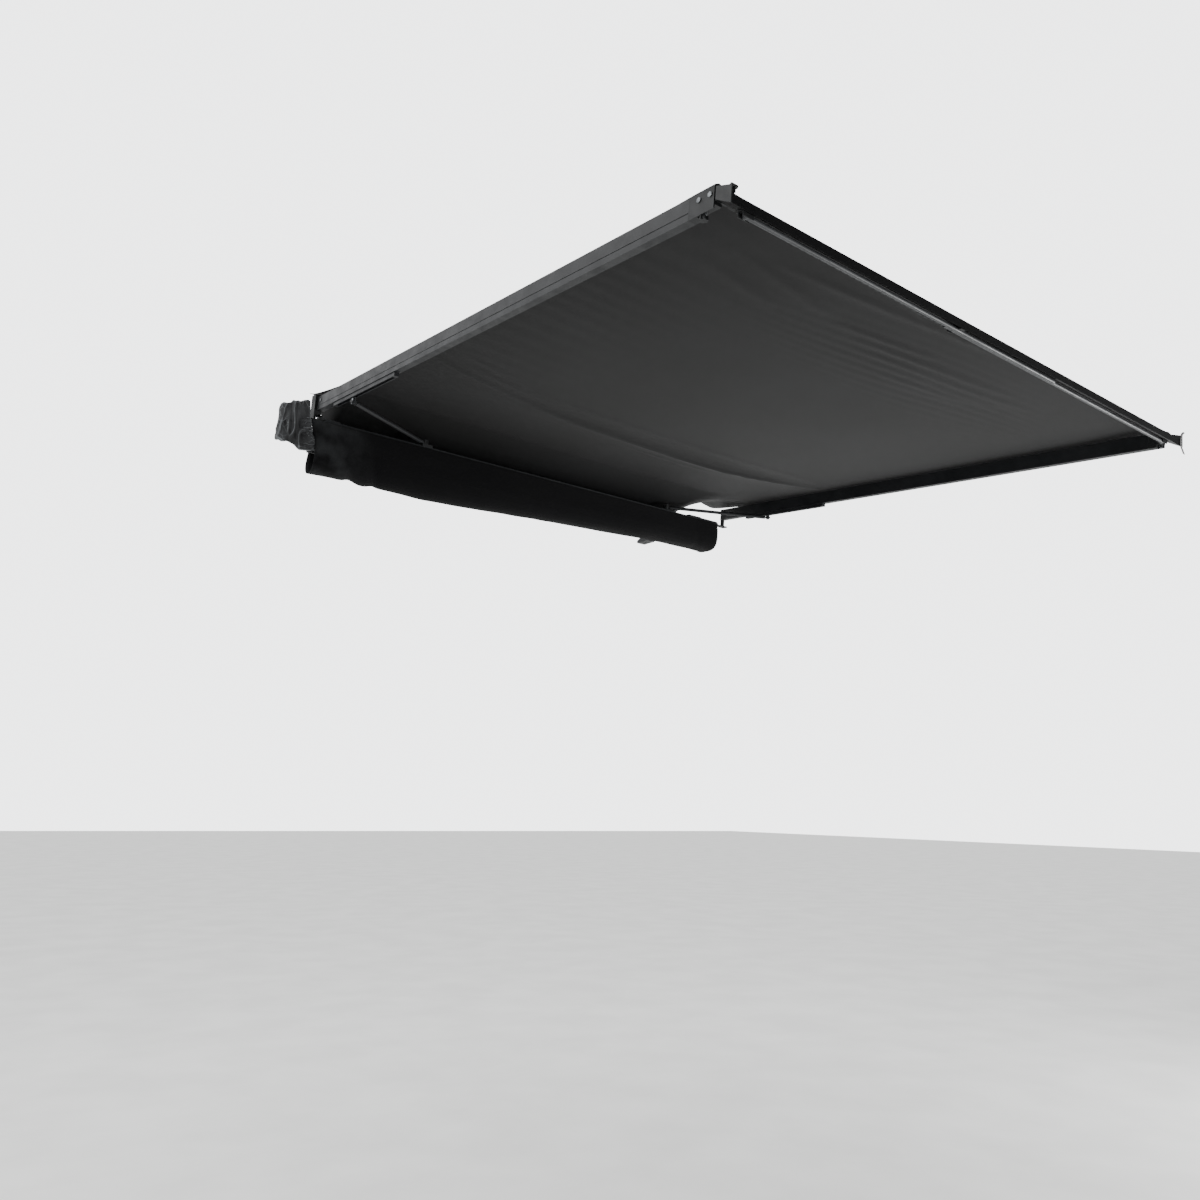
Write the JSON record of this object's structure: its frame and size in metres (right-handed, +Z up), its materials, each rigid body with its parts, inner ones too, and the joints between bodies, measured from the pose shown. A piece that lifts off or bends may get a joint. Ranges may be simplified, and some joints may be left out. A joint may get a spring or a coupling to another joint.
{
  "type": "vehicle side awning",
  "caption": "Folding side awning for a vehicle rack: a level mount rail, two hinged arms, a lead rail, braced stays, stowed legs, a cloth canopy and its cover bag.",
  "frame": {"origin": "centre of the mount rail's flat back face, against which the rack or its plate lies", "axes": "+X forward along the rail, +Y out of the back face towards the vehicle, +Z up; the canopy reaches out along -Y and leans 5.1 degrees down"},
  "size_m": [2.1485, 2.15, 0.3205],
  "materials": {
    "black_powder_coat": "satin powder coat over aluminium",
    "black_cast_metal": "cast and painted, slightly rough",
    "black_moulded_plastic": "moulded, fine grain",
    "zinc_fastener": "zinc plated",
    "canopy_cloth": "coated woven cloth, dull",
    "bag_cloth": "coated heavy cloth with a soft sheen",
    "webbing": "woven webbing"
  },
  "bodies": {
    "mount": {"mount_rail": "black_powder_coat", "mount_end_cap_rear": "black_moulded_plastic", "mount_end_cap_front": "black_moulded_plastic", "canopy_keder_strip": "black_powder_coat", "foot_bracket_rear": "black_powder_coat", "foot_bracket_front": "black_powder_coat", "foot_bolt_rear_low": "zinc_fastener", "foot_bolt_rear_high": "zinc_fastener", "foot_bolt_front_low": "zinc_fastener", "foot_bolt_front_high": "zinc_fastener", "rear_hinge_bracket": "black_cast_metal", "rear_hinge_pin": "zinc_fastener", "hinge_bolt_1": "zinc_fastener", "hinge_bolt_2": "zinc_fastener", "latch_bolt_1": "zinc_fastener", "latch_bolt_2": "zinc_fastener", "front_latch_bracket": "black_cast_metal", "front_stay_seat": "black_cast_metal", "cover_bag": "bag_cloth", "bag_end_flap": "bag_cloth"},
    "rear_arm": {"rear_arm": "black_powder_coat", "rear_arm_root": "black_cast_metal", "rear_arm_tip": "black_cast_metal", "rear_arm_bolt_1": "zinc_fastener", "rear_arm_bolt_2": "zinc_fastener", "rear_arm_bolt_3": "zinc_fastener", "rear_stay_bar": "black_powder_coat", "rear_stay_pin": "zinc_fastener", "rear_corner_pin": "zinc_fastener", "canopy": "canopy_cloth"},
    "corner_knob": {"corner_lock_knob": "black_moulded_plastic"},
    "rear_stay": {"rear_stay": "black_powder_coat"},
    "rear_stay_knob": {"rear_stay_knob": "black_moulded_plastic"},
    "rail_slider": {"rail_slider": "black_cast_metal"},
    "lead_rail": {"lead_rail": "black_powder_coat", "lead_end_cap_rear": "black_moulded_plastic", "lead_end_cap_front": "black_moulded_plastic", "lead_tongue_rear": "black_cast_metal", "lead_tongue_front": "black_cast_metal", "lead_thumb_screw": "black_moulded_plastic", "leg_yoke_rear": "black_cast_metal", "leg_yoke_front": "black_cast_metal", "leg_clip": "black_moulded_plastic", "corner_strap": "webbing"},
    "front_arm": {"front_arm": "black_powder_coat", "front_arm_root": "black_cast_metal", "front_arm_tip": "black_cast_metal", "front_arm_bolt_1": "zinc_fastener", "front_arm_bolt_2": "zinc_fastener", "front_arm_bolt_3": "zinc_fastener", "front_stay_bar": "black_powder_coat", "front_stay_pin": "zinc_fastener", "front_corner_pin": "zinc_fastener"},
    "front_stay": {"front_stay": "black_powder_coat"},
    "front_stay_knob": {"front_stay_knob": "black_moulded_plastic"},
    "rear_leg": {"leg_outer_rear": "black_powder_coat"},
    "rear_leg_foot": {"leg_inner_rear": "black_powder_coat"},
    "front_leg": {"leg_outer_front": "black_powder_coat"},
    "front_leg_foot": {"leg_inner_front": "black_powder_coat"}
  },
  "joints": [
    {"name": "rear_arm_swing", "type": "hinge", "parent": "mount", "child": "rear_arm", "pos_m": [-0.943, -0.08506, 0.08986], "axis": [0, -0.0895, 0.996], "range_deg": [0, 90]},
    {"name": "lead_rail_swing", "type": "hinge", "parent": "rear_arm", "child": "lead_rail", "pos_m": [-0.943, -1.98261, -0.08066], "axis": [0, -0.0895, 0.996], "range_deg": [0, 90], "deforming": ["canopy"]},
    {"name": "front_arm_swing", "type": "hinge", "parent": "lead_rail", "child": "front_arm", "pos_m": [1.035, -2.00871, -0.08301], "axis": [0, -0.0895, 0.996], "range_deg": [0, 90]},
    {"name": "rear_stay_swing", "type": "hinge", "parent": "rear_arm", "child": "rear_stay", "pos_m": [-0.938, -0.37051, 0.0642], "axis": [0, -0.0895, 0.996], "range_deg": [-128.09, 0]},
    {"name": "front_stay_swing", "type": "hinge", "parent": "front_arm", "child": "front_stay", "pos_m": [1.03, -0.37051, 0.0642], "axis": [0, -0.0895, 0.996], "range_deg": [0, 121.62]},
    {"name": "slider_slide", "type": "slide", "parent": "mount", "child": "rail_slider", "axis": [1, 0, 0], "range_m": [0, 0.34671]},
    {"name": "corner_knob_turn", "type": "hinge", "parent": "rear_arm", "child": "corner_knob", "pos_m": [-0.943, -1.98172, -0.09062], "axis": [0, -0.0895, 0.996], "range_deg": [0, 360]},
    {"name": "rear_stay_knob_turn", "type": "hinge", "parent": "rear_stay", "child": "rear_stay_knob", "pos_m": [-0.548, -0.12923, 0.06079], "axis": [0, -0.0895, 0.996], "range_deg": [0, 360]},
    {"name": "front_stay_knob_turn", "type": "hinge", "parent": "front_stay", "child": "front_stay_knob", "pos_m": [0.64, -0.12923, 0.06079], "axis": [0, -0.0895, 0.996], "range_deg": [0, 360]},
    {"name": "rear_leg_fold", "type": "hinge", "parent": "lead_rail", "child": "rear_leg", "pos_m": [-0.894, -2.04823, -0.09796], "axis": [0, -0.996, -0.0895], "range_deg": [-88, 0]},
    {"name": "rear_leg_extend", "type": "slide", "parent": "rear_leg", "child": "rear_leg_foot", "axis": [-1, 0, 0], "range_m": [-0.9, 0]},
    {"name": "front_leg_fold", "type": "hinge", "parent": "lead_rail", "child": "front_leg", "pos_m": [0.986, -2.03207, -0.08778], "axis": [0, 0.996, 0.0895], "range_deg": [-88, 0]},
    {"name": "front_leg_extend", "type": "slide", "parent": "front_leg", "child": "front_leg_foot", "axis": [1, 0, 0], "range_m": [-0.9, 0]}
  ],
  "couplings": [
    {"joint": "rear_stay_swing", "follows": "rear_arm_swing", "ratio": -1.4231},
    {"joint": "slider_slide", "follows": "rear_arm_swing", "m_per_rad": 0.22066},
    {"joint": "front_stay_swing", "follows": "front_arm_swing", "ratio": 1.3512}
  ]
}
